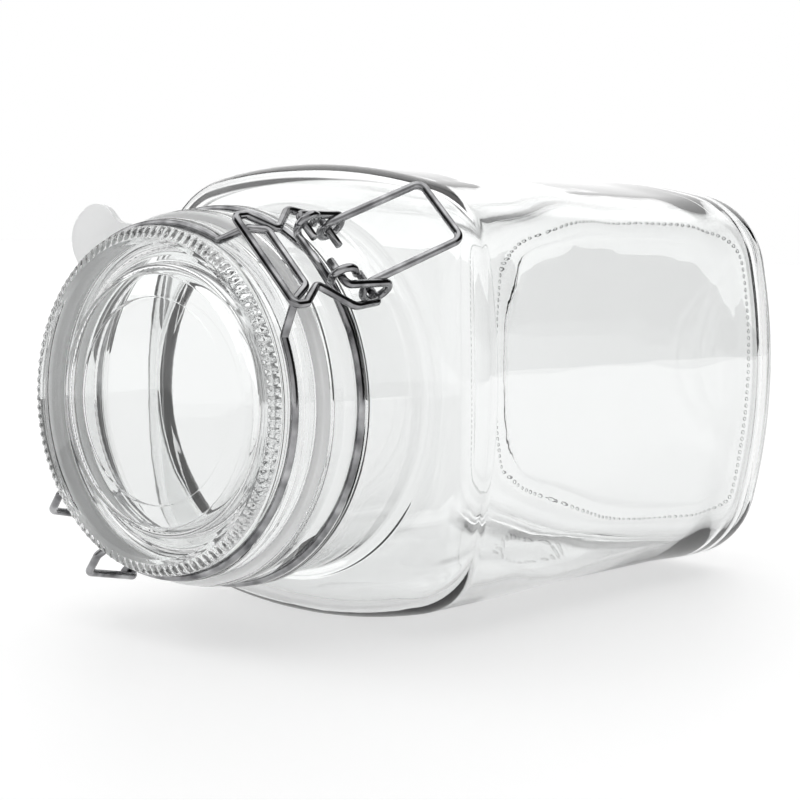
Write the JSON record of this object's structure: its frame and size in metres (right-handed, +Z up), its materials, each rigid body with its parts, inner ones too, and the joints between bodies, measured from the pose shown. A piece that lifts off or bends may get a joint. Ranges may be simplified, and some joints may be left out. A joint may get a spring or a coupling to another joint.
{
  "type": "clip-top storage jar",
  "caption": "Square clear-glass storage jar lying on its side, with a round beaded glass lid, a rubber seal and a wire toggle closure.",
  "frame": {"origin": "on the surface the jar lies on, under the middle of its overall length and width", "axes": "+Z up; the jar's own axis runs along Y with the lid towards -Y and the base towards +Y; the closure's handle is on the upper +X side and its hinge on the lower -X side"},
  "size_m": [0.13, 0.2264, 0.1298],
  "materials": {
    "jar_glass": "clear, polished",
    "lid_glass": "clear, pressed, with a beaded rim",
    "seal_rubber": "translucent, smooth",
    "neck_wire_steel": "drawn bright wire",
    "lid_wire_steel": "drawn bright wire",
    "lever_steel": "drawn bright wire",
    "link_steel": "drawn bright wire"
  },
  "bodies": {
    "jar": {"jar_body": "jar_glass", "neck_wire": "neck_wire_steel"},
    "lid": {"lid": "lid_glass", "lid_wire": "lid_wire_steel", "gasket": "seal_rubber"},
    "lever": {"lever": "lever_steel"},
    "link": {"link": "link_steel"}
  },
  "joints": [
    {"name": "lid_hinge", "type": "hinge", "parent": "jar", "child": "lid", "pos_m": [-0.04384, -0.08585, 0.02101], "axis": [0.7071, 0, -0.7071], "range_deg": [0, 90]},
    {"name": "lever_swing", "type": "hinge", "parent": "jar", "child": "lever", "pos_m": [0.04151, -0.09235, 0.10636], "axis": [0.7071, 0, -0.7071], "range_deg": [0, 70]},
    {"name": "link_pivot", "type": "hinge", "parent": "lever", "child": "link", "pos_m": [0.03889, -0.07885, 0.10374], "axis": [-0.7071, 0, 0.7071], "range_deg": [0, 126]}
  ],
  "couplings": [
    {"joint": "lever_swing", "follows": "lid_hinge", "ratio": 0.7777},
    {"joint": "link_pivot", "follows": "lid_hinge", "ratio": 1.4}
  ]
}
